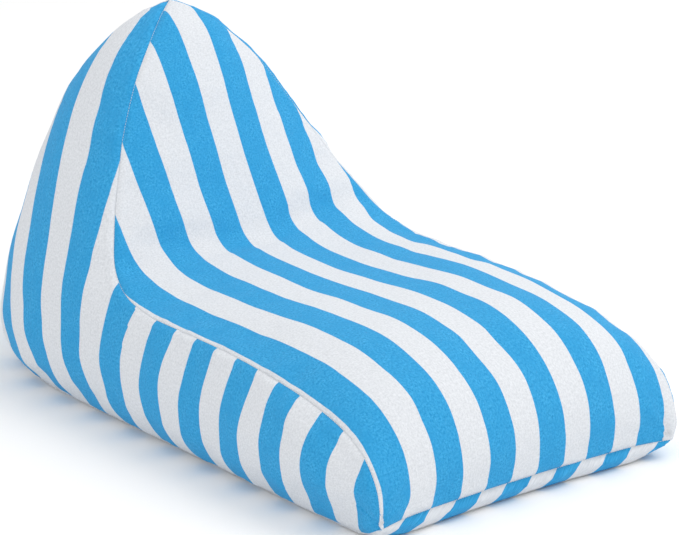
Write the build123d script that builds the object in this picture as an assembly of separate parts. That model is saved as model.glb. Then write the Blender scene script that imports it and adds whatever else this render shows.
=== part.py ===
from build123d import *
import math
import os

# Child's bean bag lounge chair: a long low seat that rises to a backrest with one pointed, rounded top.
# Frame: millimetres, +Z up, +Y towards the back, +X to the sitter's left; the floor is z = 0 and the
# origin is the middle of the footprint. The cover is four sewn panels over a closed liner full of beads.

# ---------------------------------------------------------------- driving dimensions
peak_height = 580.0          # top of the backrest
corner_half_width = 282.0    # seams at the front corners and along the seat
rear_y = 543.0               # back of the chair along its upright stretch
front_y = -543.0             # front corners, where three seams meet
rounding_y = 270.0           # where the straight sides start to turn round the back
back_roundness = 2.3         # superellipse exponent of the rounded back, 2 is an ellipse
cloth = 1.0                  # cover fabric with its seam allowance
liner_inset = 6.5            # liner's outer face inside the cover's outer face
liner_cloth = 0.8
bead_clearance = 0.3         # between the liner and the beads

# Plan outline by height: (height, half width at the seams, greatest half width, back of the outline)
plan_levels = [
    (-12.0, 244.0, 250.0, 449.0),
    (0.0, 262.0, 270.0, 477.0),
    (16.0, 278.0, 290.0, 505.0),
    (34.0, corner_half_width, 304.0, 525.0),
    (60.0, corner_half_width, 318.0, 539.5),
    (100.0, corner_half_width, 323.0, rear_y),
    (150.0, corner_half_width, 314.0, rear_y),
    (200.0, 279.0, 297.0, rear_y),
    (250.0, 254.0, 273.0, rear_y),
    (300.0, 229.0, 248.0, rear_y),
    (330.0, 213.0, 232.0, 541.5),
    (375.0, 189.0, 206.0, 530.0),
    (430.0, 159.0, 174.0, 503.0),
    (490.0, 118.0, 130.0, 453.0),
    (540.0, 73.0, 82.0, 409.0),
    (565.0, 42.0, 47.0, 380.0),
    (peak_height, 12.0, 13.0, 351.0),
]
side_stations = (-440.0, -300.0, -60.0, 120.0)   # the straight sides are drawn through these
back_angles = (0, 20, 40, 60, 76)                # the rounded back, in degrees from the side
least_half_width = 4.0

# Side profile of the top panel from the front seam, over the seat and up the backrest: (y, z, crown),
# where crown is how far the middle of the panel stands out from its seams, square to the surface.
profile = [
    (front_y, 27.0, -14.0),
    (-537.0, 76.0, 8.0),
    (-518.0, 112.0, 20.0),
    (-482.0, 142.0, 30.0),
    (-420.0, 165.0, 38.0),
    (-300.0, 185.0, 38.0),
    (-150.0, 196.0, 30.0),
    (-10.0, 198.0, 25.0),
    (83.0, 208.0, 24.0),
    (155.0, 243.0, 27.0),
    (200.0, 310.0, 28.0),
    (249.0, 407.0, 22.0),
    (281.0, 483.0, 14.0),
    (319.0, 549.0, 5.0),
    (338.0, 584.0, 0.0),
    (368.0, 640.0, 0.0),
]
swell_length = 230.0         # behind the seams, over which the sides reach their full width
far_y = 700.0                # beyond the front and the back of the chair
beyond_x = 360.0             # beyond the sides of the chair
below_z = -20.0              # under the floor
backrest_start_z = 207.0     # above this the outline starts at the backrest and not at the front corners
curl_slope = 0.81            # run-in of the base panel under the front seam, per unit of height
base_seam_z = 12.0           # seam between the side panels and the base
front_seam_z = 27.0          # seam between the top panel and the base
front_seam_end_y = -440.0    # where the base seam has come down from the front seam

# Zip in the centre back seam, number 5 coil
zip_bottom_z = 78.0
zip_length = 232.0
zip_slot_half = 6.0          # folded edges of the cover each side of the coil
tape_y = rear_y - 4.2        # inner face of the tapes
tape_thickness = 0.6
tape_half_width = 15.0
coil_gap_half = 0.9          # between the two coils, where the slider's wedge runs
coil_width = 2.6
coil_thickness = 1.6
stop_length = 3.5
slider_length = 12.0
slider_half_width = 4.6
slider_plate = 1.2
slider_clearance = 0.4
wedge_half = 0.6
wedge_span = (1.0, 3.5)      # wedge, above the slider's lower end
lock_rise = 0.4              # lock housing proud of the slider's outer plate
housing_half = 1.6
housing_margin = 2.5         # housing stops short of the slider's ends
key_hole_half = 0.6
key_hole_span = (4.0, 6.0)   # below the slider's upper end
key_hole_floor = 0.2         # above the outer plate's face
coil_rounding = 0.35         # share of the coil's thickness
plate_rounding = 0.45        # share of the slider's half width

label_size = (34.0, 0.3, 60.0)
label_place = (33.0, rear_y - 4.8, 250.0)


# ---------------------------------------------------------------- the stuffed shape, drawn in by any inset
def seam_front(height):
    """Where the outline starts at a height: the front corners, or the front of the backrest."""
    above_seat = [(z, y) for y, z, crown in profile if z > backrest_start_z]
    if height <= above_seat[0][0]:
        return front_y
    for (low_z, low_y), (high_z, high_y) in zip(above_seat, above_seat[1:]):
        if height <= high_z:
            return low_y + (high_y - low_y) * (height - low_z) / (high_z - low_z)


def swell(y, start, seam_share):
    """Share of the greatest half width: the sides swell out behind the seams over swell_length."""
    run = min(max((y - start) / swell_length, 0.0), 1.0)
    return 1.0 - (1.0 - seam_share) * (1.0 - run) ** 2


def plan_section(height, seam_half, half_width, back_y, inset):
    """D-shaped outline at one height: straight sides, and a superelliptic back."""
    side = max(half_width - inset, least_half_width)
    seam_share = seam_half / half_width
    start = seam_front(height)
    depth = back_y - inset - rounding_y
    power = 2.0 / back_roundness
    left = [(side, y) for y in (-far_y, front_y) + side_stations]
    for degrees in back_angles:
        angle = math.radians(degrees)
        left.append((side * math.cos(angle) ** power, rounding_y + depth * math.sin(angle) ** power))
    left = [(-x * swell(y, start, seam_share), y) for x, y in left]
    right = [(-x, y) for x, y in reversed(left)]
    lowered = height - inset * (max(height, 0.0) / peak_height) ** 4
    points = [Vector(x, y, lowered) for x, y in left + [(0.0, rounding_y + depth)] + right]
    round_back = Edge.make_spline(points)
    return Face(Wire([round_back, Edge.make_line(points[-1], points[0])]))


def plan_solid(inset):
    """Stack of D-shaped plan outlines lofted up to the peak."""
    return loft([plan_section(*level, inset) for level in plan_levels])


def profile_solid(inset):
    """The side profile carried across the chair, crowned in the middle by a parabola."""
    sections = []
    for x in (-beyond_x, 0.0, beyond_x):
        share = 1.0 - (x / corner_half_width) ** 2
        points = []
        for index, (y, z, crown) in enumerate(profile):
            before = profile[max(index - 1, 0)]
            after = profile[min(index + 1, len(profile) - 1)]
            along = Vector(0, after[0] - before[0], after[1] - before[1]).normalized()
            outward = Vector(0, -along.Z, along.Y)
            points.append(Vector(x, y, z) + outward * (crown * share - inset))
        top = Edge.make_spline(points)
        curl_end = Vector(x, points[0].Y + curl_slope * (points[0].Z - below_z), below_z)
        rear_low = Vector(x, far_y, below_z)
        rear_high = Vector(x, far_y, points[-1].Z)
        edges = [
            top,
            Edge.make_line(points[-1], rear_high),
            Edge.make_line(rear_high, rear_low),
            Edge.make_line(rear_low, curl_end),
            Edge.make_line(curl_end, points[0]),
        ]
        sections.append(Face(Wire(edges)))
    return loft(sections)


def block(x_range, y_range, z_range):
    """Box between two coordinates along each axis."""
    size = [high - low for low, high in (x_range, y_range, z_range)]
    middle = [(high + low) / 2 for low, high in (x_range, y_range, z_range)]
    return Pos(*middle) * Box(*size)


def above_floor(inset):
    """Everything above the flat underside, drawn in by the inset."""
    return block((-beyond_x, beyond_x), (-far_y, far_y), (inset, 2 * peak_height))


def stuffed_shape(inset):
    """The whole stuffed bag, drawn in by an inset on every side."""
    return (plan_solid(inset) & profile_solid(inset)) & above_floor(inset)


def save(name, solid):
    """One node of the assembly, in its own file."""
    solid.label = name
    export_step(solid, "parts/" + name + ".step")


# ---------------------------------------------------------------- cover panels
def base_region():
    """Everything below the seam round the base panel, which climbs to the front seam."""
    corners = [
        (-far_y, front_seam_z),
        (front_y, front_seam_z),
        (front_seam_end_y, base_seam_z),
        (far_y, base_seam_z),
        (far_y, below_z),
        (-far_y, below_z),
    ]
    outline = Face(Wire.make_polygon([Vector(-beyond_x, y, z) for y, z in corners]))
    return Solid.extrude(outline, Vector(2 * beyond_x, 0, 0))


def cover_panels():
    """Top, side and base panels of the cover, one fabric thick, meeting at their seams."""
    plan_outer = plan_solid(0.0)
    plan_inner = plan_solid(cloth)
    profile_outer = profile_solid(0.0)
    profile_inner = profile_solid(cloth)
    outer = (plan_outer & profile_outer) & above_floor(0.0)
    inner = (plan_inner & profile_inner) & above_floor(cloth)
    below_seam = base_region()
    base = (outer & below_seam) - inner
    upper = outer - below_seam
    top = upper - profile_inner
    sides = (upper & profile_inner) - plan_inner
    zip_top_z = zip_bottom_z + zip_length
    slot = block((-zip_slot_half, zip_slot_half), (rounding_y, far_y), (zip_bottom_z, zip_top_z))
    sides = sides - slot
    left_half = block((0.0, beyond_x), (-far_y, far_y), (below_z, 2 * peak_height))
    return top, sides & left_half, sides - left_half, base


# ---------------------------------------------------------------- liner
def liner_bag():
    """Liner sewn shut round the beads, one fabric thick, with no opening."""
    return stuffed_shape(liner_inset) - stuffed_shape(liner_inset + liner_cloth)


# ---------------------------------------------------------------- zip
def zip_tape(side):
    """One woven tape, side is +1 for the sitter's left."""
    edges = sorted((side * coil_gap_half, side * tape_half_width))
    return block(edges, (tape_y, tape_y + tape_thickness), (zip_bottom_z, zip_bottom_z + zip_length))


def zip_coil(side):
    """One row of nylon coil with a rounded outer face, between the stops."""
    edges = sorted((side * coil_gap_half, side * (coil_gap_half + coil_width)))
    face_y = tape_y + tape_thickness
    ends = (zip_bottom_z + stop_length, zip_bottom_z + zip_length - stop_length)
    coil = block(edges, (face_y, face_y + coil_thickness), ends)
    outer_edges = coil.edges().filter_by(Axis.Z).group_by(Axis.Y)[-1]
    return fillet(outer_edges, coil_thickness * coil_rounding)


def zip_stop(low_z):
    """Clamp across both coils at one end of the zip."""
    half = coil_gap_half + coil_width
    face_y = tape_y + tape_thickness
    clamp = block((-half, half), (face_y, face_y + coil_thickness), (low_z, low_z + stop_length))
    outer_edges = clamp.edges().filter_by(Axis.Z).group_by(Axis.Y)[-1]
    return fillet(outer_edges, coil_thickness * coil_rounding)


def zip_slider():
    """Locking slider with no pull tab: two plates joined by the wedge, and a low lock housing."""
    low_z = zip_bottom_z + stop_length + slider_clearance
    high_z = low_z + slider_length
    across = (-slider_half_width, slider_half_width)
    coil_face = tape_y + tape_thickness + coil_thickness
    outer_plate = (coil_face + slider_clearance, coil_face + slider_clearance + slider_plate)
    inner_plate = (tape_y - slider_clearance - slider_plate, tape_y - slider_clearance)
    plates = []
    for plate in (outer_plate, inner_plate):
        flat = block(across, plate, (low_z, high_z))
        plates.append(fillet(flat.edges().filter_by(Axis.Y), slider_half_width * plate_rounding))
    wedge_z = (low_z + wedge_span[0], low_z + wedge_span[1])
    wedge = block((-wedge_half, wedge_half), (inner_plate[0], outer_plate[1]), wedge_z)
    housing_y = (outer_plate[0], outer_plate[1] + lock_rise)
    housing_z = (low_z + housing_margin, high_z - housing_margin)
    housing = block((-housing_half, housing_half), housing_y, housing_z)
    housing = fillet(housing.edges().group_by(Axis.Y)[-1], lock_rise)
    key_hole_z = (high_z - key_hole_span[1], high_z - key_hole_span[0])
    key_hole = block((-key_hole_half, key_hole_half), (outer_plate[1] + key_hole_floor, far_y), key_hole_z)
    return plates[0] + plates[1] + wedge + housing - key_hole


def care_label():
    """Blank label sewn to the left tape, lying flat between the cover and the liner."""
    return Pos(*label_place) * Box(*label_size)


os.makedirs("parts", exist_ok=True)
top, left, right, base = cover_panels()
save("cover_top_panel", top)
save("cover_left_panel", left)
save("cover_right_panel", right)
save("cover_base_panel", base)
save("bead_liner", liner_bag())
save("bead_fill", stuffed_shape(liner_inset + liner_cloth + bead_clearance))
for side_name, side in (("left", 1), ("right", -1)):
    save("zip_tape_" + side_name, zip_tape(side))
    save("zip_coil_" + side_name, zip_coil(side))
save("zip_bottom_stop", zip_stop(zip_bottom_z))
save("zip_top_stop", zip_stop(zip_bottom_z + zip_length - stop_length))
save("zip_slider", zip_slider())
save("care_label", care_label())
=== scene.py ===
import math

import bpy
import numpy as np
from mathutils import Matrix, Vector
from mathutils.bvhtree import BVHTree
from mathutils.kdtree import KDTree


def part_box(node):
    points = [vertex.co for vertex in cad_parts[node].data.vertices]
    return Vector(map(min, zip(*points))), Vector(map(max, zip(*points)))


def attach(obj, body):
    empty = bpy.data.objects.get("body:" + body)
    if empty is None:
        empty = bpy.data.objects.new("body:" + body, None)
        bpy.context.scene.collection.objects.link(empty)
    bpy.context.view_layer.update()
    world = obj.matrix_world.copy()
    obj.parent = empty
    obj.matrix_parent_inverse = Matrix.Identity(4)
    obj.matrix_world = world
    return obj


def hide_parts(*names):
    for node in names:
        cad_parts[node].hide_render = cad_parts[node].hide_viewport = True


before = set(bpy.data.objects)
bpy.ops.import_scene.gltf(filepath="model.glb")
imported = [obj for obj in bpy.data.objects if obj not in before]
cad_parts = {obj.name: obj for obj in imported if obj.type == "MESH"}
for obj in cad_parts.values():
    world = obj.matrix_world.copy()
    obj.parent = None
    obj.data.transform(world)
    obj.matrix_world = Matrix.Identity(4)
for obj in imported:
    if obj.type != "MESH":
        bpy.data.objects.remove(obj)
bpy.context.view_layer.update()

# A child's bean bag lounge chair. Metres, +Z up, +Y towards the back; -X is the side nearest the camera.
scene = bpy.context.scene


def new_object(name, data):
    thing = bpy.data.objects.new(name, data)
    scene.collection.objects.link(thing)
    return thing


# ---- camera
VIEW_AZIMUTH = math.radians(-38.7)
VIEW_ELEVATION = math.radians(18.8)
VIEW_DISTANCE = 6.0
VIEW_TARGET = Vector((-0.003, -0.097, 0.2486))
SENSOR_WIDTH = 36.0
LENS = 206.9


def make_camera():
    """Long lens from the front left and a little above, as a catalogue picture is taken."""
    level = math.cos(VIEW_ELEVATION)
    back = Vector((math.sin(VIEW_AZIMUTH) * level, -math.cos(VIEW_AZIMUTH) * level, math.sin(VIEW_ELEVATION)))
    data = bpy.data.cameras.new("camera")
    data.sensor_width = SENSOR_WIDTH
    data.lens = LENS
    data.clip_end = 50.0
    camera = new_object("camera", data)
    camera.location = VIEW_TARGET + back * VIEW_DISTANCE
    camera.rotation_euler = (math.pi / 2 - VIEW_ELEVATION, 0.0, VIEW_AZIMUTH)
    scene.camera = camera


make_camera()

# ---- driving dimensions
PEAK = 0.585  # top of the backrest
FRONT_Y = -0.543  # front corners
REAR_Y = 0.543  # upright part of the back
ROUNDING_Y = 0.270  # where the sides start to turn round the back
BACK_ROUNDNESS = 2.3  # exponent of the back's outline; 2 would be an ellipse
SWELL_LENGTH = 0.23  # the sides swell out over this length behind the front corners
STRIPE = 0.050
CROTCH_Y = 0.030  # where the seat ends and the backrest starts
SHOULDER_Z = 0.121  # where the front edge turns back to become the seat's edge

FAR_EDGE_OUT, FAR_EDGE_UP = 0.013, 0.009  # extra fullness along the seat's far edge

BASE_SEAM_Z = 0.006
FRONT_SEAM_Z = 0.027  # at the front corners
ZIP_LOW, ZIP_HIGH = 0.078, 0.310
ZIP_HALF = 0.006  # half the gap between the cover's folded edges
ZIP_RECESS_REACH = 0.075  # the cover lies smooth this far each side of the zip
CLOTH = 0.001
LINER_CLOTH = 0.0008
LINER_INSET, BEADS_INSET = 0.0066, 0.0080
LABEL_INSET, LABEL_CLOTH = 0.0024, 0.0003

FRONT_ROWS = 28  # mesh rows up the front edge
SEAT_ROWS = 84
BACK_ROWS = 64
ACROSS = 92  # cells across the seat and across the base
UP = 66  # cells from the base seam up a side panel
ROWS_BELOW_ZIP, ROWS_BESIDE_ZIP = 9, 27
SEAM_CELL = 0.0026  # smallest cells across the seat, beside the seams
SEAM_ROW, ZIP_ROW = 0.0022, 0.003  # smallest cells up a side, beside its seams and the zip's ends
CORNER_COLUMNS = 39  # the pull towards the front corner fades out over these columns
REAR_COLUMNS = 33  # columns over which the rows of a side change to suit the zip

FRONT_IN, FRONT_UP = 0.016, 0.008  # the seam under the front edge is drawn in and up between its corners
FRONT_BOW = 2.4  # how squarely it is drawn, 2 is a parabola
CROWN, CROWN_EASE = 3.1, 0.7  # how squarely the seat is crowned across, and how much less the backrest is
FRONT_BLEND = 0.07  # the front face bends to its seam over about this length
SEAM_REACH = 0.09  # a side panel leaves the outline within this distance of its seams
FRONT_CURL, SIDE_CURL = 0.022, 0.018  # widths over which the base curls up to its seams
CORNER_CURL = 0.07
STRAIGHT_UNIT = 0.46  # the outline coordinate falls by 1 over this length of straight side
FOLD_STEP = 0.0022  # between the columns of the cover's folded edge beside the zip

# Outline by height: height, half width at the seams, greatest half width, back
LEVELS = np.array([
    (-0.012, 0.244, 0.250, 0.449), (0.000, 0.262, 0.268, 0.475), (0.016, 0.277, 0.2915, 0.510),
    (0.034, 0.281, 0.305, 0.529), (0.060, 0.282, 0.318, 0.541), (0.100, 0.282, 0.324, 0.543),
    (0.150, 0.282, 0.314, 0.543), (0.200, 0.279, 0.297, 0.543), (0.250, 0.254, 0.273, 0.543),
    (0.300, 0.229, 0.248, 0.543), (0.330, 0.213, 0.232, 0.5415), (0.375, 0.189, 0.206, 0.530),
    (0.430, 0.159, 0.174, 0.504), (0.490, 0.120, 0.133, 0.460), (0.540, 0.078, 0.089, 0.416),
    (0.568, 0.040, 0.052, 0.384), (0.585, 0.000, 0.006, 0.352),
])

# Seam between the top panel and a side panel: half width, y, z, and the top panel's crown beside it
SEAM = np.array([
    (0.283, -0.543, 0.027, -0.014), (0.284, -0.542, 0.052, -0.007), (0.283, -0.534, 0.083, 0.005),
    (0.282, -0.512, 0.118, 0.022), (0.281, -0.478, 0.144, 0.041), (0.280, -0.435, 0.162, 0.053),
    (0.279, -0.350, 0.180, 0.058), (0.279, -0.244, 0.192, 0.050), (0.279, -0.146, 0.198, 0.036),
    (0.279, -0.050, 0.199, 0.029), (0.280, 0.030, 0.202, 0.026), (0.274, 0.092, 0.214, 0.026),
    (0.259, 0.138, 0.240, 0.028), (0.241, 0.164, 0.275, 0.029), (0.220, 0.190, 0.316, 0.029),
    (0.195, 0.214, 0.364, 0.028), (0.170, 0.237, 0.412, 0.026), (0.121, 0.267, 0.490, 0.021),
    (0.076, 0.291, 0.538, 0.015), (0.034, 0.317, 0.570, 0.008), (0.000, 0.340, 0.585, 0.000),
])


# ---- curves
def smooth_step(t):
    t = np.clip(t, 0, 1)
    return t * t * (3 - 2 * t)


def unit(vectors):
    """Rows of vectors, each made one long."""
    return vectors / np.maximum(np.linalg.norm(vectors, axis=1), 1e-12)[:, None]


def monotone(xs, ys, at):
    """Smooth curve through points that never overshoots them (Fritsch-Carlson)."""
    xs, ys, at = np.asarray(xs), np.asarray(ys), np.asarray(at)
    step = np.diff(xs)
    slope = np.diff(ys) / step
    tangent = np.zeros(len(xs))
    same = slope[:-1] * slope[1:] > 0
    w1, w2 = 2 * step[1:] + step[:-1], step[1:] + 2 * step[:-1]
    safe = np.where(same, slope[:-1] * slope[1:], 1.0)
    tangent[1:-1] = np.where(same, (w1 + w2) * safe / (w1 * slope[1:] + w2 * slope[:-1] + (~same)), 0.0)
    tangent[0], tangent[-1] = slope[0], slope[-1]
    cell = np.clip(np.searchsorted(xs, at) - 1, 0, len(xs) - 2)
    h, t = step[cell], (at - xs[cell]) / step[cell]
    t = np.clip(t, 0.0, 1.0)
    return ((2 * t**3 - 3 * t**2 + 1) * ys[cell] + (t**3 - 2 * t**2 + t) * h * tangent[cell]
            + (3 * t**2 - 2 * t**3) * ys[cell + 1] + (t**3 - t**2) * h * tangent[cell + 1])


def between(t, start, end, first, last):
    """Straight mix of two values, the first held at start and the last at end."""
    return (end - t) / (end - start) * first + (t - start) / (end - start) * last


def through(points, count_per_span=24):
    """Dense centripetal Catmull-Rom curve through rows of numbers; the first three columns are a place."""
    points = np.asarray(points, float)
    ends = np.vstack([2 * points[0] - points[1], points, 2 * points[-1] - points[-2]])
    dense = []
    for i in range(1, len(ends) - 2):
        p = ends[i - 1:i + 3]
        knots = np.concatenate([[0], np.cumsum(np.linalg.norm(np.diff(p[:, :3], axis=0), axis=1) ** 0.5)])
        t = np.linspace(knots[1], knots[2], count_per_span, endpoint=False)[:, None]
        a = [between(t, knots[k], knots[k + 1], p[k], p[k + 1]) for k in range(3)]
        b = [between(t, knots[k], knots[k + 2], a[k], a[k + 1]) for k in range(2)]
        t = (t - knots[1]) / (knots[2] - knots[1])
        dense.append((1 - t) * b[0] + t * b[1])
    return np.vstack(dense + [points[-1:]])


def run_along(line):
    """Distance along a line of places from its start to each of its points."""
    return np.concatenate([[0], np.cumsum(np.linalg.norm(np.diff(line[:, :3], axis=0), axis=1))])


def resampled(at, along, rows):
    """Rows of numbers known at distances along a line, read off at other distances."""
    return np.stack([np.interp(at, along, column) for column in rows.T], -1)


def by_length(curve, count):
    """The same curve cut to count equal lengths."""
    along = run_along(curve)
    even = np.linspace(0, along[-1], count + 1)
    return resampled(even, along, curve)


def graded(count, length, edge, reach=7):
    """Shares from 0 to 1, whose last few cells at both ends shrink to about edge metres."""
    cell = length / count
    weight = np.ones(count)
    for i in range(reach):
        small = (edge + (cell - edge) * i / reach) / cell
        weight[i] = weight[-1 - i] = small
    shares = np.concatenate([[0], np.cumsum(weight)])
    return shares / shares[-1]


# ---- the side surface
QUARTER = np.linspace(0, math.pi / 2, 241)
ROUND_X = np.cos(QUARTER) ** (2 / BACK_ROUNDNESS)
ROUND_Y = np.sin(QUARTER) ** (2 / BACK_ROUNDNESS)
ROUND_X[-1] = 0.0
HEIGHTS = np.linspace(LEVELS[0, 0], PEAK, 75)


def belly(z):
    return monotone(LEVELS[:, 0], LEVELS[:, 2], z)


def back_depth(z):
    """From the start of the rounding to the back."""
    return monotone(LEVELS[:, 0], LEVELS[:, 3], z) - ROUNDING_Y


def round_lengths():
    """For each of a stack of heights, the length of the outline from the end of the straight side."""
    rows = []
    for z in HEIGHTS:
        x, y = belly(z) * ROUND_X, back_depth(z) * ROUND_Y
        rows.append(np.concatenate([[0], np.cumsum(np.hypot(np.diff(x), np.diff(y)))]))
    return np.array(rows)


LENGTHS = round_lengths()


def level_of(z):
    """Where a height lies in HEIGHTS, with its fraction."""
    return np.interp(z, HEIGHTS, np.arange(len(HEIGHTS)))


def round_total(z):
    return np.interp(z, HEIGHTS, LENGTHS[:, -1])


def side_place(run, z):
    """Place on the -X side at a distance along the outline (y, until the rounding starts) and a height."""
    run, z = np.broadcast_arrays(np.asarray(run, float), np.asarray(z, float))
    share = np.clip((run - ROUNDING_Y) / round_total(z), 0, 1)
    level = np.clip(level_of(z), 0, len(HEIGHTS) - 1.001)
    low = level.astype(int)
    unit_x, unit_y = np.zeros(run.shape), np.zeros(run.shape)
    for row in np.unique(low):
        here = low == row
        for step, weight in ((0, 1 - (level[here] - row)), (1, level[here] - row)):
            table = LENGTHS[row + step] / LENGTHS[row + step, -1]
            unit_x[here] += weight * np.interp(share[here], table, ROUND_X)
            unit_y[here] += weight * np.interp(share[here], table, ROUND_Y)
    straight = run <= ROUNDING_Y
    y = np.where(straight, run, ROUNDING_Y + back_depth(z) * unit_y)
    ramp = 1 - np.clip((y - FRONT_Y) / (SWELL_LENGTH - 0.08 * smooth_step((z - 0.03) / 0.05)), 0, 1)
    seam_share = monotone(LEVELS[:, 0], LEVELS[:, 1] / LEVELS[:, 2], z)
    x = belly(z) * np.where(straight, 1.0, unit_x) * (1 - (1 - seam_share) * ramp**2)
    return np.stack([-x, y, z], -1)


# Seam from the front corner (-X side) to the peak, in three lengths of mesh rows
dense = through(SEAM)
dense[:, 0] *= -1
split_front = int(np.argmax(dense[:, 2] >= SHOULDER_Z))
split_seat = int(np.argmax(dense[:, 1] >= CROTCH_Y))
lengths = (
    by_length(dense[:split_front + 1], FRONT_ROWS),
    by_length(dense[split_front:split_seat + 1], SEAT_ROWS),
    by_length(dense[split_seat:], BACK_ROWS),
)
SEAM_CURVE = np.vstack([lengths[0][:-1], lengths[1][:-1], lengths[2]])
SHOULDER_INDEX = FRONT_ROWS
CROTCH_INDEX = FRONT_ROWS + SEAT_ROWS


# ---- panel grids
def side_run(y, z):
    """Distance along the outline of a point at y and height z."""
    share = np.clip((y - ROUNDING_Y) / back_depth(z), 0, 1)
    position = np.interp(share, ROUND_Y, np.arange(len(ROUND_Y)))
    steps = np.arange(len(ROUND_Y))
    turned = np.array([np.interp(u, steps, LENGTHS[int(round(h))]) for u, h in zip(position, level_of(z))])
    return np.where(y <= ROUNDING_Y, y, ROUNDING_Y + turned)


def to_share(run, z):
    """The outline coordinate that is 0 where the rounding starts and 1 at the centre back."""
    past_rounding = run - ROUNDING_Y
    return np.where(run <= ROUNDING_Y, past_rounding / STRAIGHT_UNIT, past_rounding / round_total(z))


def from_share(share, z):
    return np.where(share <= 0, ROUNDING_Y + share * STRAIGHT_UNIT, ROUNDING_Y + share * round_total(z))


def front_bottom(u):
    """Seam under the front edge, drawn in and up between its two corners."""
    share = 1 - np.abs(u) ** FRONT_BOW
    x = u * abs(SEAM_CURVE[0, 0])
    return np.stack([x, FRONT_Y + FRONT_IN * share, FRONT_SEAM_Z + FRONT_UP * share], -1)


def top_panel(curve, across):
    """Rows run from side seam to side seam, from the front edge up to the peak."""
    tangent = unit(np.gradient(curve[:, 1:3], axis=0))
    outward = np.stack([-tangent[:, 1], tangent[:, 0]], 1)
    climbed = run_along(curve)
    rows = np.zeros((len(curve), len(across), 3))
    for i in range(len(curve)):
        squareness = CROWN - CROWN_EASE * smooth_step((curve[i, 1] + 0.10) / 0.20)
        share = 1 - np.abs(across) ** squareness
        rows[i, :, 0] = across * abs(curve[i, 0])
        rows[i, :, 1] = curve[i, 1] + outward[i, 0] * curve[i, 3] * share
        rows[i, :, 2] = curve[i, 2] + outward[i, 1] * curve[i, 3] * share
    front = front_bottom(across)
    rows += np.exp(-(climbed / FRONT_BLEND) ** 2)[:, None, None] * (front - rows[0])
    rows[0] = front
    rows[:, 0], rows[:, -1] = curve[:, :3], curve[:, :3] * (-1, 1, 1)
    return rows


def side_panel(curve):
    """Columns climb from base seam to top seam; the first is the front corner, the last the centre back."""
    climbed = run_along(curve)
    high_z = curve[:, 2]
    high = to_share(side_run(curve[:, 1], high_z), high_z)
    high[-1] = 1.0
    on_seat = np.interp((-0.35, -0.15), curve[:, 1], climbed)
    marks = [0, climbed[SHOULDER_INDEX], *on_seat, climbed[CROTCH_INDEX], climbed[-1]]
    total = ROUNDING_Y + float(round_total(BASE_SEAM_Z))
    low_run = monotone(marks, [FRONT_Y, -0.455, -0.325, -0.145, 0.075, total], climbed)
    low_z = BASE_SEAM_Z + (FRONT_SEAM_Z - BASE_SEAM_Z) * np.exp(-((low_run - FRONT_Y) / 0.028) ** 1.3)
    low = to_share(low_run, low_z)
    low[-1] = 1.0

    even = graded(UP, 0.2, SEAM_ROW)
    rows_above = UP - ROWS_BELOW_ZIP - ROWS_BESIDE_ZIP - 1
    rear_z = np.concatenate([
        BASE_SEAM_Z + (ZIP_LOW - 0.001 - BASE_SEAM_Z) * graded(ROWS_BELOW_ZIP, 0.065, ZIP_ROW),
        np.linspace(ZIP_LOW + 0.001, ZIP_HIGH - 0.001, ROWS_BESIDE_ZIP),
        ZIP_HIGH + 0.001 + (PEAK - ZIP_HIGH - 0.001) * graded(rows_above, 0.27, ZIP_ROW),
    ])
    rear = (rear_z - BASE_SEAM_Z) / (PEAK - BASE_SEAM_Z)
    columns = np.zeros((len(curve), UP + 1, 3))
    coordinates = np.zeros((len(curve), UP + 1, 2))
    for i in range(len(curve)):
        mix = smooth_step((i - (len(curve) - 1 - REAR_COLUMNS)) / REAR_COLUMNS)
        t = (1 - mix) * even + mix * rear
        z = low_z[i] + t * (high_z[i] - low_z[i])
        share = low[i] + t * (high[i] - low[i])
        run = from_share(share, z)
        place = side_place(run, z)
        place[:, 0] = np.minimum(place[:, 0], 0)
        away = run_along(place)
        to_top = away[-1] - away
        reach = min(SEAM_REACH, 0.55 * away[-1] + 1e-9)
        falloff = np.clip(1 - to_top / reach, 0, 1) ** 2.2
        place += falloff[:, None] * (curve[i, :3] - place[-1])
        if i <= CORNER_COLUMNS:
            near = np.clip(1 - away / reach, 0, 1) ** 2
            pull = (curve[0, :3] - side_place(low_run[0], low_z[0])) * (1 - smooth_step(i / CORNER_COLUMNS))
            place += (near * (1 - falloff))[:, None] * pull
        place[-1] = curve[i, :3]
        columns[i] = place
        coordinates[i, :, 0], coordinates[i, :, 1] = run, z
    columns[0] = curve[0, :3]
    columns[-1, :, 0] = 0.0
    return columns, coordinates


def open_slot(columns):
    """Folds the cover's edge back beside the zip."""
    columns = columns.copy()
    slot = (columns[-1, :, 2] > ZIP_LOW) & (columns[-1, :, 2] < ZIP_HIGH)
    columns[-1, slot, 0] = -ZIP_HALF
    for back in (2, 3, 4):
        limit = -(ZIP_HALF + FOLD_STEP * (back - 1))
        zipped = slot & (columns[-back, :, 0] > limit)
        columns[-back, zipped, 0] = limit
    return columns


def quarter_round(share):
    """Falls steeply from 1 and runs out level at 0."""
    return 1 - np.sqrt(1 - np.clip(1 - share, 0, 1) ** 2.2)


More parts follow.
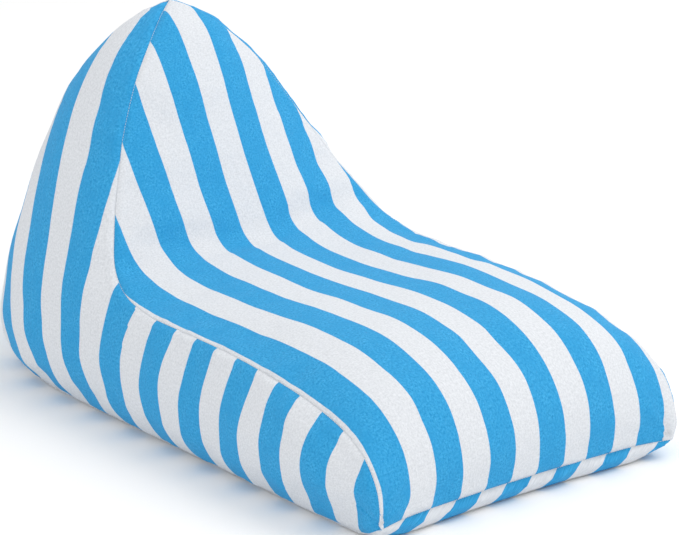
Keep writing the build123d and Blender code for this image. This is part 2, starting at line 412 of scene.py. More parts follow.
def base_panel(low, across):
    """Rows join the two base seams; the middle lies flat and the edges curl up to their seams."""
    rows = np.zeros((len(low), len(across), 3))
    front = front_bottom(across)
    rows[:, :, 0] = across * np.abs(low[:, :1])
    rows[:, :, 1] = low[:, 1:2]
    depth = rows[:, :, 1] - FRONT_Y
    rows[:, :, 1] += (front[:, 1] - FRONT_Y) * np.exp(-depth / 0.05)
    side_gap = np.abs(low[:, :1]) - np.abs(rows[:, :, 0])
    rear_gap = low[-1, 1] - rows[:, :, 1]
    side_gap = np.minimum(side_gap, rear_gap)
    front_gap = rows[:, :, 1] - front[:, 1]
    side_curl = low[:, 2:3] * quarter_round(side_gap / SIDE_CURL)
    slope = np.clip(1 - front_gap / FRONT_CURL, 0, 1) ** 1.15
    front_curl = front[:, 2] * (0.8 * quarter_round(front_gap / FRONT_CURL) + 0.2 * slope)
    corner = np.clip(1 - side_gap / CORNER_CURL, 0, 1) * np.clip(1 - front_gap / CORNER_CURL, 0, 1)
    curl = np.maximum(side_curl, front_curl)
    rows[:, :, 2] = curl + (FRONT_SEAM_Z - curl).clip(0) * 0.9 * corner ** 1.5
    rows[0] = front
    rows[:, 0], rows[:, -1] = low, low * (-1, 1, 1)
    return rows


def settled(grid):
    """The beads lie a little fuller towards the far edge of the seat than towards the near one."""
    x, y, z = grid[..., 0], grid[..., 1], grid[..., 2]
    full = smooth_step((x - 0.03) / 0.24) * (1 - smooth_step((y + 0.10) / 0.35))
    wider = FAR_EDGE_OUT * full * smooth_step((z - 0.012) / 0.045)
    higher = FAR_EDGE_UP * full * smooth_step((z - 0.03) / 0.12)
    return np.stack([x + wider, y, z + higher], -1)


across = -1 + 2 * graded(ACROSS, 0.56, SEAM_CELL)
sewn_side, side_coordinates = side_panel(SEAM_CURVE)
sewn_far_side = settled(sewn_side * (-1, 1, 1))
near_side = open_slot(sewn_side)
top = settled(top_panel(SEAM_CURVE, across))
base = settled(base_panel(near_side[:, 0], across))
far_side = settled(near_side * (-1, 1, 1))


# ---- the four panels welded into one skin
GRIDS = {"cover_top": top, "cover_near_side": near_side, "cover_far_side": far_side, "cover_base": base}


def weld(grids):
    """One list of places for all panels, and for each panel the index of every grid point in it."""
    every = np.concatenate([g.reshape(-1, 3) for g in grids.values()])
    unused, first, index = np.unique(np.round(every * 1e6).astype(np.int64), axis=0,
                                     return_index=True, return_inverse=True)
    index = index.reshape(-1)
    places, ids, start = every[first], {}, 0
    for name, grid in grids.items():
        count = grid[..., 0].size
        ids[name] = index[start:start + count].reshape(grid.shape[:2])
        start += count
    return places, ids


def grid_faces(ids, places):
    """Quads and triangles of a grid of point indices, wound so that they face away from the beads."""
    a, b, c, d = ids[:-1, :-1].ravel(), ids[1:, :-1].ravel(), ids[1:, 1:].ravel(), ids[:-1, 1:].ravel()
    faces = []
    for quad in zip(a.tolist(), b.tolist(), c.tolist(), d.tolist()):
        loop = [v for k, v in enumerate(quad) if v != quad[k - 1]]
        if len(set(loop)) >= 3:
            faces.append(loop)
    middle = np.array([0, 0.1, 0.12])
    vote = 0.0
    for loop in faces[:: max(1, len(faces) // 400)]:
        p = places[loop]
        vote += np.dot(np.cross(p[1] - p[0], p[2] - p[0]), p.mean(0) - middle)
    return faces if vote > 0 else [loop[::-1] for loop in faces]


def vertex_normals(places, faces):
    triangles = []
    for loop in faces:
        triangles += [(loop[0], loop[k], loop[k + 1]) for k in range(1, len(loop) - 1)]
    triangles = np.array(triangles)
    p = places[triangles]
    normal = np.cross(p[:, 1] - p[:, 0], p[:, 2] - p[:, 0])
    total = np.zeros_like(places)
    for k in range(3):
        np.add.at(total, triangles[:, k], normal)
    return unit(total)


skin, IDS = weld(GRIDS)
skin_closed, IDS_CLOSED = weld({**GRIDS, "cover_near_side": sewn_side, "cover_far_side": sewn_far_side})
FACES = {name: grid_faces(ids, skin) for name, ids in IDS.items()}
ALL_FACES = [loop for faces in FACES.values() for loop in faces]
SKIN_NORMAL = vertex_normals(skin, ALL_FACES)


# ---- seams
def even_points(line, step=0.0015):
    along = run_along(line)
    even = np.linspace(0, along[-1], int(along[-1] / step) + 2)
    return resampled(even, along, line), even


near, far = IDS["cover_near_side"], IDS["cover_far_side"]
SEAMS = {
    "top_near": near[:, -1], "top_far": far[:, -1], "front": IDS["cover_base"][0],
    "base_near": near[:, 0], "base_far": far[:, 0], "back_near": near[-1], "back_far": far[-1],
}


def tree_of(points):
    """Search tree over places."""
    tree = KDTree(len(points))
    for i, point in enumerate(points):
        tree.insert(point, i)
    tree.balance()
    return tree


def nearest_seam(places, normals):
    """For each place, the distance to the nearest seam, how far along that is, and the seam's normal."""
    points, along, facing, offset = [], [], [], 0.0
    for line in SEAMS.values():
        even, run = even_points(skin[line])
        points.append(even)
        along.append(run + offset)
        facing.append(resampled(run, run_along(skin[line]), normals[line]))
        offset += run[-1] + 0.5
    points, along, facing = map(np.concatenate, (points, along, facing))
    tree = tree_of(points)
    distance, nearest = np.zeros(len(places)), np.zeros(len(places), int)
    for i, place in enumerate(places):
        unused, nearest[i], distance[i] = tree.find(place)
    return distance, along[nearest], facing[nearest]


def waves(x, lengths, phases):
    """Irregular ripple along a line, from -1 to 1 or so."""
    ripples = [np.sin(2 * math.pi * x / length + phase) for length, phase in zip(lengths, phases)]
    return sum(ripples) / len(lengths) ** 0.5


def lumps(places, scale, turn):
    """Smooth irregular field over space, made of crossing waves, from about -1 to 1."""
    total = np.zeros(len(places))
    for k in range(7):
        angle, tilt = turn + 2.4 * k, 0.9 * math.sin(1.7 * k + turn)
        level = math.cos(tilt)
        direction = np.array([math.cos(angle) * level, math.sin(angle) * level, math.sin(tilt)])
        length = scale * (0.75 + 0.09 * k)
        total += np.sin(places @ direction * (2 * math.pi / length) + 1.3 * k * k + turn)
    return total / 7 ** 0.5


# ---- stuffing: a cloth simulation of the cover
VOXEL = 0.0105
FRAMES = 20
CANVAS_CLOTH = {
    "quality": 4, "mass": 0.35, "tension_stiffness": 30, "compression_stiffness": 20, "shear_stiffness": 8,
    "bending_stiffness": 5.0, "use_pressure": True, "uniform_pressure_force": 4.0,
    "shrink_min": 0.0, "shrink_max": 0.04, "vertex_group_shrink": "seams", "vertex_group_mass": "held",
}
TIGHT_REACH = 0.03  # the seams shrink the cloth within this distance
HELD_FLOOR_Z, HELD_ZIP_GAP = 0.006, 0.022  # held still: points this low, and this near the zip
HELD_ZIP_LOW, HELD_ZIP_HIGH = 0.06, 0.33
BROAD_ROUNDS, FINE_ROUNDS = 110, 3  # smoothing that finds the broad movement, and that evens the rest
MOVE_CAP, MOVE_SHARE = 0.004, 0.6  # most that a point may move, and the share kept of small moves


def with_neighbours(values, edges):
    """Each value with those of its neighbours added to it."""
    total = values.copy()
    np.add.at(total, edges[:, 0], values[edges[:, 1]])
    np.add.at(total, edges[:, 1], values[edges[:, 0]])
    return total


def smoothed(values, mesh, rounds):
    """Values at a mesh's vertices evened out over their neighbours."""
    edges = np.zeros(len(mesh.edges) * 2, np.int32)
    mesh.edges.foreach_get("vertices", edges)
    edges = edges.reshape(-1, 2)
    count = np.ones(len(values))
    np.add.at(count, edges[:, 0], 1)
    np.add.at(count, edges[:, 1], 1)
    for unused in range(rounds):
        values = with_neighbours(values, edges) / count[:, None]
    return values


def vertex_places(mesh):
    places = np.zeros(len(mesh.vertices) * 3)
    mesh.vertices.foreach_get("co", places)
    return places.reshape(-1, 3)


def stuffed_displacement():
    """How the skin moves when the sewn cover is blown up by its filling."""
    mesh = bpy.data.meshes.new("stuffing")
    faces = [loop for ids in IDS_CLOSED.values() for loop in grid_faces(ids, skin_closed)]
    mesh.from_pydata(skin_closed.tolist(), [], faces)
    mesh.validate()
    body = new_object("stuffing", mesh)
    bpy.context.view_layer.objects.active = body
    remesh = body.modifiers.new("even", "REMESH")
    remesh.mode = "VOXEL"
    remesh.voxel_size = VOXEL
    bpy.ops.object.modifier_apply(modifier="even")
    before = vertex_places(body.data)
    distance, along, unused = nearest_seam(before, SKIN_NORMAL)
    tight = np.clip(1 - distance / TIGHT_REACH, 0, 1)
    tight *= 0.75 + 0.25 * waves(along, (0.041, 0.063, 0.097), (0.3, 1.9, 4.0))
    shrink = body.vertex_groups.new(name="seams")
    held = body.vertex_groups.new(name="held")
    zip_gap = np.hypot(before[:, 0], np.maximum(0.5 - before[:, 1], 0))
    for i in range(len(before)):
        shrink.add([i], float(np.clip(tight[i], 0, 1)), "REPLACE")
        z = before[i, 2]
        zipped = zip_gap[i] < HELD_ZIP_GAP and HELD_ZIP_LOW < z < HELD_ZIP_HIGH
        held.add([i], 1.0 if z < HELD_FLOOR_Z or zipped else 0.0, "REPLACE")
    cloth = body.modifiers.new("cover", "CLOTH")
    for key, value in CANVAS_CLOTH.items():
        setattr(cloth.settings, key, value)
    cloth.settings.effector_weights.gravity = 0.0
    cloth.collision_settings.use_collision = False
    cloth.point_cache.frame_start, cloth.point_cache.frame_end = 1, FRAMES
    for step in range(1, FRAMES + 1):
        scene.frame_set(step)
    bpy.ops.object.modifier_apply(modifier="cover")
    move = vertex_places(body.data) - before
    scene.frame_set(1)
    move -= smoothed(move, body.data, BROAD_ROUNDS)
    move = smoothed(move, body.data, FINE_ROUNDS)
    length = np.linalg.norm(move, axis=1)
    kept = MOVE_CAP * np.tanh(MOVE_SHARE * length / MOVE_CAP)
    move *= (kept / np.maximum(length, 1e-9))[:, None]
    tree = tree_of(before)
    carried = np.zeros_like(skin)
    for i, place in enumerate(skin):
        found = tree.find_n(place, 5)
        weight = np.array([1 / (gap + 0.002) ** 2 for unused, unused2, gap in found])
        carried[i] = (weight[:, None] * move[[k for unused, k, unused2 in found]]).sum(0) / weight.sum()
    bpy.data.objects.remove(body)
    return carried


# ---- seam, pucker and fold detail
GROOVE_DEPTH, GROOVE_WIDTH = 0.0022, 0.0036
RIDGE, PUCKER, FOLD = 0.0009, 0.0006, 0.0016  # heights beside a seam
BROAD_LUMP, SMALL_LUMP = 0.0022, 0.0010
LOW_FOLD = 0.0016  # soft folds where the sides meet the floor
CREASE_X = 0.286  # the creases fan out from here, by the front corner


def detailed(places, moved):
    """The stuffed skin with its seams drawn in, and puckers, folds and slight unevenness off them."""
    x, y, z = places.T
    distance, along, seam_normal = nearest_seam(places, SKIN_NORMAL)
    normal = unit(SKIN_NORMAL + (seam_normal - SKIN_NORMAL) * np.exp(-(distance / 0.007) ** 2)[:, None])
    ripple = waves(along, (0.021, 0.029, 0.037, 0.053), (0.2, 1.4, 3.1, 5.0))
    long_ripple = waves(along, (0.067, 0.093, 0.131), (1.0, 2.6, 4.4))
    height = -GROOVE_DEPTH * np.exp(-(distance / GROOVE_WIDTH) ** 2)
    height += RIDGE * np.exp(-((distance - 0.012) / 0.006) ** 2)
    height += PUCKER * ripple * np.exp(-((distance - 0.013) / 0.009) ** 2)
    off_seam = 1 - np.exp(-(distance / 0.008) ** 2)
    height += FOLD * long_ripple * np.exp(-(distance / 0.045) ** 1.5) * off_seam
    settle = smooth_step((distance - 0.004) / 0.05)
    height += settle * (BROAD_LUMP * lumps(places, 0.24, 0.4) + SMALL_LUMP * lumps(places, 0.11, 2.0))
    low_folds = np.exp(-((z - 0.035) / 0.035) ** 2) * (np.abs(x) > 0.2)
    height += LOW_FOLD * low_folds * waves(y, (0.071, 0.109, 0.163), (0.5, 2.2, 4.9)) * settle
    height += corner_creases(places)
    zipped = np.exp(-(np.abs(x) / ZIP_RECESS_REACH) ** 4) * (y > 0.5)
    zipped *= smooth_step((z - ZIP_LOW + 0.02) / 0.02)
    zipped *= smooth_step((ZIP_HIGH + 0.02 - z) / 0.02)
    height = height * (1 - zipped)
    height += zipped * -0.0004 * np.exp(-((np.abs(x) - ZIP_HALF - 0.003) / 0.0012) ** 2)
    standing = smooth_step((z - 0.001) / 0.02)
    result = places + moved * (1 - zipped)[:, None] + normal * (height * standing)[:, None]
    result[:, 2] = np.maximum(result[:, 2], 0.0)
    result[z <= 1e-6, 2] = 0.0
    return result


def corner_creases(places):
    """Creases that fan up the front face from each front corner."""
    total = np.zeros(len(places))
    for side in (-1, 1):
        across_gap = places[:, 0] * side * -1 + CREASE_X
        up_gap = places[:, 2] - FRONT_SEAM_Z
        radius = np.hypot(across_gap, up_gap)
        angle = np.arctan2(up_gap, np.maximum(across_gap, -0.001))
        ahead = np.exp(-((places[:, 1] - FRONT_Y) / 0.05) ** 2)
        for lie, depth, reach in ((1.18, 0.0066, 0.080), (0.75, 0.0048, 0.060), (0.32, 0.0034, 0.050)):
            crease = np.exp(-((angle - lie) / 0.15) ** 2) * np.exp(-radius / reach)
            total -= depth * ahead * crease * smooth_step(radius / 0.014)
    return total


stuffed = stuffed_displacement()
skin_rest = skin.copy()
skin = detailed(skin, stuffed)


# ---- materials
def srgb(r, g, b):
    """Linear colour of an sRGB one given from 0 to 255."""
    linear = [((c / 255 + 0.055) / 1.055) ** 2.4 if c > 10 else c / 255 / 12.92 for c in (r, g, b)]
    return (*linear, 1.0)


class Nodes:
    """Short names for building a material's nodes."""

    def __init__(self, name):
        self.material = bpy.data.materials.new(name)
        self.material.use_nodes = True
        self.tree = self.material.node_tree
        self.shader = self.tree.nodes["Principled BSDF"]

    def put(self, socket, value):
        if isinstance(value, bpy.types.NodeSocket):
            self.tree.links.new(value, socket)
        else:
            socket.default_value = value

    def add(self, kind, inputs, **settings):
        node = self.tree.nodes.new(kind)
        for key, value in settings.items():
            setattr(node, key, value)
        for key, value in inputs.items():
            self.put(node.inputs[key], value)
        return node

    def math(self, operation, a, b=0.0, c=0.0, clamp=False):
        inputs = {0: a, 1: b, 2: c}
        return self.add("ShaderNodeMath", inputs, operation=operation, use_clamp=clamp).outputs[0]

    def spread(self, value, gain, middle):
        """The value stretched about one half and held between 0 and 1."""
        return self.math("MULTIPLY_ADD", self.math("SUBTRACT", value, 0.5), gain, middle, clamp=True)

    def shade(self, name, value):
        self.put(self.shader.inputs[name], value)

    def noise(self, vector, scale, detail=2.0, roughness=0.5):
        inputs = {"Vector": vector, "Scale": scale, "Detail": detail, "Roughness": roughness}
        return self.add("ShaderNodeTexNoise", inputs).outputs["Fac"]

    def scaled(self, vector, x, y, z):
        return self.add("ShaderNodeVectorMath", {0: vector, 1: (x, y, z)}, operation="MULTIPLY").outputs[0]

    def mix(self, share, a, b):
        inputs = {"Factor": share, 6: a, 7: b}  # 6 and 7 take colours, output 2 gives one
        return self.add("ShaderNodeMix", inputs, data_type="RGBA").outputs[2]

    def bump(self, height, strength, distance, normal=None):
        inputs = {"Strength": strength, "Distance": distance, "Height": height}
        if normal is not None:
            inputs["Normal"] = normal
        return self.add("ShaderNodeBump", inputs).outputs[0]

    def separate(self, vector):
        return self.add("ShaderNodeSeparateXYZ", {0: vector}).outputs


EDGE_RAGGED, EDGE_WANDER = 0.022, 0.02  # unevenness of the stripes' printed edges, in stripes
WEAVE_RATE = 55  # periods of the weave in a stripe's width, each way


def canvas_material():
    """Printed cotton canvas: one unit of the UV map is one stripe of 50 mm."""
    n = Nodes("striped_canvas")
    uv = n.add("ShaderNodeUVMap", {}, uv_map="cloth").outputs[0]
    across, along = n.separate(uv)[:2]
    ragged = n.math("SUBTRACT", n.noise(n.scaled(uv, 60, 60, 1), 1.0, 2.0), 0.5)
    ragged = n.math("MULTIPLY", ragged, EDGE_RAGGED)
    wander = n.math("SUBTRACT", n.noise(n.scaled(uv, 0.8, 2.2, 1), 1.0, 1.0), 0.5)
    wander = n.math("MULTIPLY", wander, EDGE_WANDER)
    shifted = n.math("ADD", across, n.math("ADD", ragged, wander))
    wave = n.math("SINE", n.math("MULTIPLY", shifted, math.pi))
    stripe = n.math("MULTIPLY_ADD", wave, 22.0, 0.5, clamp=True)
    cloudy = n.noise(n.scaled(uv, 2.2, 1.6, 1), 1.0, 3.0)
    grain = n.noise(n.scaled(uv, 17, 13, 1), 1.0, 4.0, 0.72)
    warp = n.noise(n.scaled(uv, 42, 5, 1), 1.0, 2.0)
    weft = n.noise(n.scaled(uv, 5, 42, 1), 1.0, 2.0)
    slub = n.math("ADD", warp, weft)
    blue = n.mix(n.spread(grain, 3.4, 0.5), srgb(20, 135, 196), srgb(75, 184, 236))
    blue = n.mix(n.spread(cloudy, 1.6, 0.4), blue, srgb(44, 154, 212))
    white = n.mix(n.spread(grain, 3.0, 0.5), srgb(210, 214, 219), srgb(232, 235, 240))
    colour = n.mix(stripe, white, blue)
    thread = n.math("MULTIPLY_ADD", n.math("SUBTRACT", slub, 1.0), 1.1, 0.5, clamp=True)
    value = n.math("MULTIPLY_ADD", thread, 0.14, 0.93)
    darker = n.add("ShaderNodeHueSaturation", {"Color": colour, "Value": value})
    n.shade("Base Color", darker.outputs[0])
    n.shade("Roughness", n.math("MULTIPLY_ADD", grain, 0.16, 0.76))
    warp_yarn = n.math("SINE", n.math("MULTIPLY", across, 2 * math.pi * WEAVE_RATE))
    weft_yarn = n.math("SINE", n.math("MULTIPLY", along, 2 * math.pi * WEAVE_RATE))
    weave = n.math("MULTIPLY", warp_yarn, weft_yarn)
    fine = n.bump(weave, 0.35, 0.0004)
    rough = n.bump(n.math("ADD", grain, slub), 0.55, 0.0007, fine)
    soft = n.bump(n.noise(n.scaled(uv, 3.0, 2.0, 1), 1.0, 2.0), 0.30, 0.006, rough)
    n.shade("Normal", soft)
    n.shade("Specular IOR Level", 0.16)
    n.shade("Sheen Weight", 0.05)
    n.shade("Sheen Roughness", 0.6)
    return n.material


def cloth_material(name, light, dark, pitch, roughness=0.85, strength=0.4):
    """Plain woven cloth with a visible yarn pitch in metres, laid out in object coordinates."""
    n = Nodes(name)
    place = n.add("ShaderNodeTexCoord", {}).outputs["Object"]
    x, y, z = n.separate(place)
    rate = 2 * math.pi / pitch
    first = n.math("SINE", n.math("MULTIPLY", n.math("ADD", x, y), rate))
    second = n.math("SINE", n.math("MULTIPLY", z, rate))
    weave = n.math("MULTIPLY", first, second)
    grain = n.noise(place, 0.6 / pitch, 3.0)
    n.shade("Base Color", n.mix(n.math("MULTIPLY_ADD", grain, 1.4, -0.2, clamp=True), dark, light))
    n.shade("Roughness", roughness)
    n.shade("Specular IOR Level", 0.25)
    n.shade("Normal", n.bump(n.math("ADD", weave, grain), strength, pitch * 0.3))
    return n.material


def smooth_material(name, light, dark, roughness, coat=0.0):
    """Moulded, wound or lacquered surface with faint wear."""
    n = Nodes(name)
    place = n.add("ShaderNodeTexCoord", {}).outputs["Object"]
    grain = n.noise(place, 900.0, 3.0)
    n.shade("Base Color", n.mix(grain, dark, light))
    n.shade("Roughness", n.math("MULTIPLY_ADD", grain, 0.12, roughness - 0.06))
    n.shade("Coat Weight", coat)
    n.shade("Normal", n.bump(grain, 0.15, 0.0001))
    return n.material


CANVAS = canvas_material()
LINER = cloth_material("liner_cloth", srgb(238, 237, 232), srgb(222, 221, 216), 0.0008)
BEADS = smooth_material("beads", srgb(250, 250, 250), srgb(236, 236, 236), 0.6)
TAPE = cloth_material("zip_tape_weave", srgb(240, 241, 243), srgb(222, 224, 228), 0.0007, 0.8, 0.7)
COIL = smooth_material("coil_nylon", srgb(245, 245, 245), srgb(232, 233, 235), 0.42)
LACQUER = smooth_material("white_lacquer", srgb(240, 241, 243), srgb(230, 231, 234), 0.32, 0.4)
THREAD = cloth_material("sewing_thread", srgb(240, 242, 244), srgb(206, 214, 222), 0.0005, 0.7, 0.5)
SATIN = smooth_material("label_satin", srgb(246, 246, 243), srgb(238, 238, 235), 0.35)


# ---- panels
def make_mesh(name, places, faces, material, uv=None):
    mesh = bpy.data.meshes.new(name)
    mesh.from_pydata(np.asarray(places).tolist(), [], faces)
    if uv is not None:
        layer = mesh.uv_layers.new(name="cloth")
        corner = np.zeros(len(mesh.loops), np.int32)
        mesh.loops.foreach_get("vertex_index", corner)
        layer.data.foreach_set("uv", np.asarray(uv, np.float32)[corner].ravel())
    mesh.polygons.foreach_set("use_smooth", [True] * len(mesh.polygons))
    mesh.materials.append(material)
    mesh.update()
    return new_object(name, mesh)


def thicken(piece, thickness):
    """Gives a sheet the thickness of its cloth, inwards."""
    thick = piece.modifiers.new("cloth", "SOLIDIFY")
    thick.thickness = thickness
    thick.offset = -1.0


def panel_object(name, uv):
    """One cover panel cut out of the skin, one fabric thick."""
    ids = IDS[name]
    used, index = np.unique(ids, return_inverse=True)
    index = index.reshape(ids.shape)
    where = {int(v): k for k, v in enumerate(used)}
    faces = [[where[v] for v in loop] for loop in FACES[name]]
    per_vertex = np.zeros((len(used), 2))
    per_vertex[index.ravel()] = uv.reshape(-1, 2)
    piece = make_mesh(name, skin[used], faces, CANVAS, per_vertex)
    thicken(piece, CLOTH)
    return piece


# By distance round the side from the front corner: lean of the stripes low down, and slope above the waist
BELLY_LEAN = np.array([
    (0, 0.005), (0.12, 0.007), (0.20, 0.008), (0.30, 0.008),
    (0.70, 0.006), (0.80, 0.015), (0.95, 0.018), (1.1, 0),
])
STEEP = np.array([
    (0.55, 0), (0.60, 0.08), (0.70, 0.27), (0.75, 0.335), (0.80, 0.41),
    (0.85, 0.52), (0.90, 0.65), (1.0, 0.85), (1.25, 1.15),
])
WAIST_Z = 0.13  # the stripes' slope changes about here


def past(x, softness):
    """x where it is well above 0 and 0 where it is well below, with a soft bend between."""
    return (x + np.sqrt(x * x + softness * softness)) / 2


def lean(s, z):
    """How far a stripe of the side panels leans from upright, metres along the outline."""
    foot = (-0.014 + 0.07 * s) * past(1 - z / WAIST_Z, 0.15)
    waist = -0.05 * past(s - 0.55, 0.05) * smooth_step(z / WAIST_Z)
    arched = np.sin(math.pi * np.clip(z / 0.19, 0, 1)) ** 0.7
    belly_lean = monotone(BELLY_LEAN[:, 0], BELLY_LEAN[:, 1], s)
    belly_lean = belly_lean * np.where(s < 0.6, arched, smooth_step(z / 0.08))
    return foot + waist + belly_lean - monotone(STEEP[:, 0], STEEP[:, 1], s) * past(z - WAIST_Z, 0.02)


def stripe_coordinate(run, z):
    """Distance across the stripes of a side panel from the front corner, solved for the lean."""
    low, high = np.full(run.shape, -0.1), np.full(run.shape, 1.8)
    for unused in range(32):
        middle = (low + high) / 2
        above = middle - lean(middle, z) > run - FRONT_Y + 0.004
        high = np.where(above, middle, high)
        low = np.where(above, low, middle)
    return (low + high) / 2


side_run_at, side_z = np.moveaxis(side_coordinates, -1, 0)
side_uv = np.stack([stripe_coordinate(side_run_at, side_z) / STRIPE, side_z / STRIPE * 1.1], -1)
side_uv_far = side_uv + (0.0, 40.0)  # so that the far side's grain differs
top_x, top_y, top_z = np.moveaxis(top, -1, 0)
low_share = np.exp(-((top_z - FRONT_SEAM_Z) / 0.026) ** 2) * (top_y < -0.4)
low_share *= smooth_step((top_x + 0.275) / 0.03)
drawn_aside = low_share * (0.004 + 0.012 * np.exp(-((top_x + 0.23) / 0.045) ** 2))
drawn_aside += 0.004 * smooth_step((-top_x - 0.25) / 0.02) * smooth_step((0.16 - top_z) / 0.06)
top_uv = np.stack([(top_x * 1.008 + drawn_aside) / STRIPE + 1.5,
                   np.broadcast_to(run_along(SEAM_CURVE)[:, None] / STRIPE, top_x.shape)], -1)
front = front_bottom(across)
front_gap = base[..., 1] - front[:, 1]
skew = 0.85 + 0.6 * np.exp(-((base[..., 0] + 0.24) / 0.10) ** 2)
skew *= (front[:, 2] - base[..., 2]) * np.exp(-front_gap / 0.15)
base_uv = np.stack([(base[..., 0] * 1.02 + 0.0084 + skew) / STRIPE + 0.5, base[..., 1] / STRIPE], -1)
cover_top = panel_object("cover_top", top_uv)
cover_near = panel_object("cover_near_side", side_uv)
cover_far = panel_object("cover_far_side", side_uv_far)
cover_base = panel_object("cover_base", base_uv)
for piece, node in ((cover_top, "cover_top_panel"), (cover_near, "cover_right_panel"),
                    (cover_far, "cover_left_panel"), (cover_base, "cover_base_panel")):
    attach(piece, "chair")
    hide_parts(node)


# ---- liner and beads, drawn in from the cover
def closed_skin(row_step, column_step, side_step):
    """A coarser closed copy of the finished cover, without the zip's slot: places and faces."""
    total, count = np.zeros_like(skin_closed), np.zeros(len(skin_closed))
    for name, ids in IDS_CLOSED.items():
        np.add.at(total, ids.ravel(), skin[IDS[name]].reshape(-1, 3))
        np.add.at(count, ids.ravel(), 1)
    places = total / count[:, None]
    faces = []
    for name, ids in IDS_CLOSED.items():
        steps = side_step if "side" in name else column_step
        faces += grid_faces(ids[::row_step, ::steps], places)
    used = np.unique([v for loop in faces for v in loop])
    where = {int(v): k for k, v in enumerate(used)}
    return places[used], [[where[int(v)] for v in loop] for loop in faces]


def drawn_in(places, faces, inset, rounds=5):
    """The same surface moved inwards, along directions evened out so that it doesn't fold at the seams."""
    normal = vertex_normals(places, faces)
    edges = np.array([(loop[k - 1], v) for loop in faces for k, v in enumerate(loop)])
    for unused in range(rounds):
        normal = unit(with_neighbours(normal, edges))
    result = places - normal * inset
    result[:, 2] = np.maximum(result[:, 2], inset)
    return result


core_places, core_faces = closed_skin(row_step=4, column_step=4, side_step=3)
liner = make_mesh("bead_liner_bag", drawn_in(core_places, core_faces, LINER_INSET), core_faces, LINER)
thicken(liner, LINER_CLOTH)
beads = make_mesh("beads", drawn_in(core_places, core_faces, BEADS_INSET), core_faces, BEADS)
for piece, node, slot, fill in ((liner, "bead_liner", "liner_fabric", 0.8),
                                (beads, "bead_fill", "polystyrene_beads", 0.8)):
    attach(piece, "chair")
    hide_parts(node)


# ---- thread, coils and other sewn detail
TUBE_SIDES = 5
# Pitch, length and thread radius of each kind of stitch, and its rise above the cloth
SEAM_STITCH = (0.0044, 0.0032, 0.00032, 0.0)
ZIP_STITCH = (0.0034, 0.0026, 0.00034, 0.0001)
TACK_STITCH = (0.0012, 0.0011, 0.00034, 0.0001)
TACK_GAPS = (0.0015, 0.0035, 0.0055)  # rows of close stitches past each end of the zip
ZIP_SAMPLES, TACK_SAMPLES = 90, 12
BEHIND = 0.7  # rays that look for the cover's back start from here


def tube(path, radii, sides):
    """Places and faces of a round tube along a path, with a radius for each point of it."""
    path = np.asarray(path, float)
    tangent = unit(np.gradient(path, axis=0))
    up = np.array([0.3, 0.2, 1.0]) if abs(tangent[0, 2]) < 0.8 else np.array([1.0, 0.1, 0.0])
    side = np.cross(tangent[0], up)
    places, faces = [], []
    for k, point in enumerate(path):
        side = side - tangent[k] * np.dot(side, tangent[k])
        side /= np.linalg.norm(side)
        other = np.cross(tangent[k], side)
        for j in range(sides):
            angle = 2 * math.pi * j / sides
            places.append(point + radii[k] * (math.cos(angle) * side + math.sin(angle) * other))
    for k in range(len(path) - 1):
        for j in range(sides):
            here, following = k * sides + j, k * sides + (j + 1) % sides
            faces.append([here, following, following + sides, here + sides])
    faces.append(list(range(sides))[::-1])
    faces.append([(len(path) - 1) * sides + j for j in range(sides)])
    return np.array(places), faces


def gathered(name, parts, material):
    """One piece made of many small closed bodies."""
    places, faces, start = [], [], 0
    for part_places, part_faces in parts:
        places.append(part_places)
        faces += [[v + start for v in loop] for loop in part_faces]
        start += len(part_places)
    piece = make_mesh(name, np.concatenate(places), faces, material)
    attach(piece, "chair")
    return piece


STITCH_SHAPE = ((-0.5, 0.55, -0.9), (-0.38, 0.95, 0.1), (0.0, 1.0, 0.6), (0.38, 0.95, 0.1), (0.5, 0.55, -0.9))


def stitches(line, normals, pitch, length, radius, rise):
    """Short threads along a line of places, each humped over its two holes."""
    along = run_along(line)
    count = int(along[-1] / pitch)
    parts = []
    for k in range(count):
        middle = (k + 0.5) * along[-1] / count
        path, radii = [], []
        for share, thickness, height in STITCH_SHAPE:
            at = middle + share * length
            place, outward = resampled(at, along, line), resampled(at, along, normals)
            outward /= max(np.linalg.norm(outward), 1e-9)
            path.append(place + outward * (rise + height * radius))
            radii.append(radius * thickness)
        parts.append(tube(path, radii, TUBE_SIDES))
    return parts


skin_normal = vertex_normals(skin, ALL_FACES)
seam_parts = []
for name in ("top_near", "top_far", "front", "base_near", "base_far"):
    line = SEAMS[name]
    seam_parts += stitches(skin[line], skin_normal[line], *SEAM_STITCH)
near_back = SEAMS["back_near"]
for low, high in ((BASE_SEAM_Z, ZIP_LOW), (ZIP_HIGH, PEAK)):
    span = near_back[(skin_rest[near_back, 2] <= high) & (skin_rest[near_back, 2] >= low)]
    seam_parts += stitches(skin[span], skin_normal[span], *SEAM_STITCH)
seam_thread = gathered("seam_thread", seam_parts, THREAD)

cover_back = BVHTree.FromPolygons(skin.tolist(), FACES["cover_near_side"] + FACES["cover_far_side"])


def on_back(x, z, rise=0.0):
    """Place on the outside of the cover's back."""
    hit, normal, unused, unused2 = cover_back.ray_cast(Vector((x, BEHIND, z)), Vector((0, -1, 0)))
    return np.array([x, (hit.y if hit else REAR_Y) + rise, z])


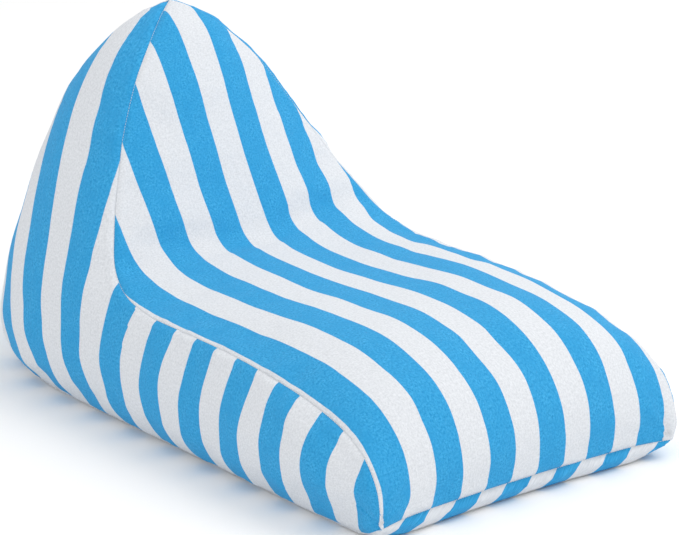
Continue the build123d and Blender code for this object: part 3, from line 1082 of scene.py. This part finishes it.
topstitch = []
for side in (-1, 1):
    heights = np.linspace(ZIP_LOW - 0.006, ZIP_HIGH + 0.006, ZIP_SAMPLES)
    line = np.array([on_back(side * (ZIP_HALF + 0.0032), z) for z in heights])
    topstitch += stitches(line, np.tile((0.0, 1.0, 0.0), (ZIP_SAMPLES, 1)), *ZIP_STITCH)
for z in [ZIP_LOW - gap for gap in TACK_GAPS] + [ZIP_HIGH + gap for gap in TACK_GAPS]:
    line = np.array([on_back(x, z) for x in np.linspace(-ZIP_HALF - 0.003, ZIP_HALF + 0.003, TACK_SAMPLES)])
    topstitch += stitches(line, np.tile((0.0, 1.0, 0.0), (TACK_SAMPLES, 1)), *TACK_STITCH)
zip_topstitch = gathered("zip_topstitch", topstitch, THREAD)


def care_label():
    """Blank satin label lying against the inside of the cover, beside the zip."""
    low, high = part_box("care_label")
    across_label, up_label = np.linspace(low.x, high.x, 9), np.linspace(low.z, high.z, 13)
    places = np.array([on_back(x, z, -LABEL_INSET) for x in across_label for z in up_label])
    ids = np.arange(len(places)).reshape(len(across_label), len(up_label))
    label = make_mesh("label_blank", places, grid_faces(ids, places), SATIN)
    thicken(label, LABEL_CLOTH)
    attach(label, "chair")
    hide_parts("care_label")


def zip_coil(side):
    """Nylon monofilament wound into a flattened spiral, inside the CAD coil's box."""
    low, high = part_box("zip_coil_left" if side > 0 else "zip_coil_right")
    radius, pitch, per_turn = 0.00036, 0.0015, 10
    middle = (low + high) / 2
    half_x, half_y = (high.x - low.x) / 2 - radius, (high.y - low.y) / 2 - radius
    turns = int((high.z - low.z - 4 * radius) / pitch)
    path = []
    for k in range(turns * per_turn + 1):
        angle = 2 * math.pi * k / per_turn
        path.append((middle.x + half_x * math.cos(angle), middle.y + half_y * math.sin(angle),
                     low.z + 2 * radius + k * pitch / per_turn))
    wound = tube(path, [radius] * len(path), TUBE_SIDES)
    coil = gathered("coil_left" if side > 0 else "coil_right", [wound], COIL)
    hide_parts("zip_coil_left" if side > 0 else "zip_coil_right")


care_label()
zip_coil(1)
zip_coil(-1)
for names, material in ((("zip_tape_left", "zip_tape_right"), TAPE),
                        (("zip_bottom_stop", "zip_top_stop", "zip_slider"), LACQUER)):
    for name in names:
        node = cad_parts[name]
        node.data.materials.clear()
        node.data.materials.append(material)


# ---- floor and light
FLOOR_HALF = 6
WORLD_LIGHT = 0.94


def make_stage():
    floor_mesh = bpy.data.meshes.new("floor")
    corners = [(x * FLOOR_HALF, y * FLOOR_HALF, 0) for x, y in ((-1, -1), (1, -1), (1, 1), (-1, 1))]
    floor_mesh.from_pydata(corners, [], [(0, 1, 2, 3)])
    floor = new_object("floor", floor_mesh)
    n = Nodes("floor")
    n.shade("Base Color", (0.95, 0.95, 0.95, 1))
    n.shade("Roughness", 0.9)
    n.shade("Specular IOR Level", 0.1)
    floor_mesh.materials.append(n.material)
    world = bpy.data.worlds.new("studio")
    scene.world = world
    world.use_nodes = True
    colour, strength = world.node_tree.nodes["Background"].inputs[:2]
    colour.default_value = (1, 1, 1, 1)
    strength.default_value = WORLD_LIGHT
    for name, place, size, power, tint in (
        ("key", (1.6, -1.2, 3.2), 2.6, 46.0, (1.0, 0.99, 0.97)),
        ("fill", (-2.6, -2.6, 1.6), 2.4, 6.0, (0.97, 0.99, 1.0)),
    ):
        data = bpy.data.lights.new(name, "AREA")
        data.energy, data.size, data.color = power, size, tint
        light = new_object(name, data)
        light.location = place
        light.rotation_euler = (Vector((0, 0, 0.2)) - Vector(place)).to_track_quat("-Z", "Y").to_euler()
    scene.view_settings.view_transform = "Standard"


make_stage()
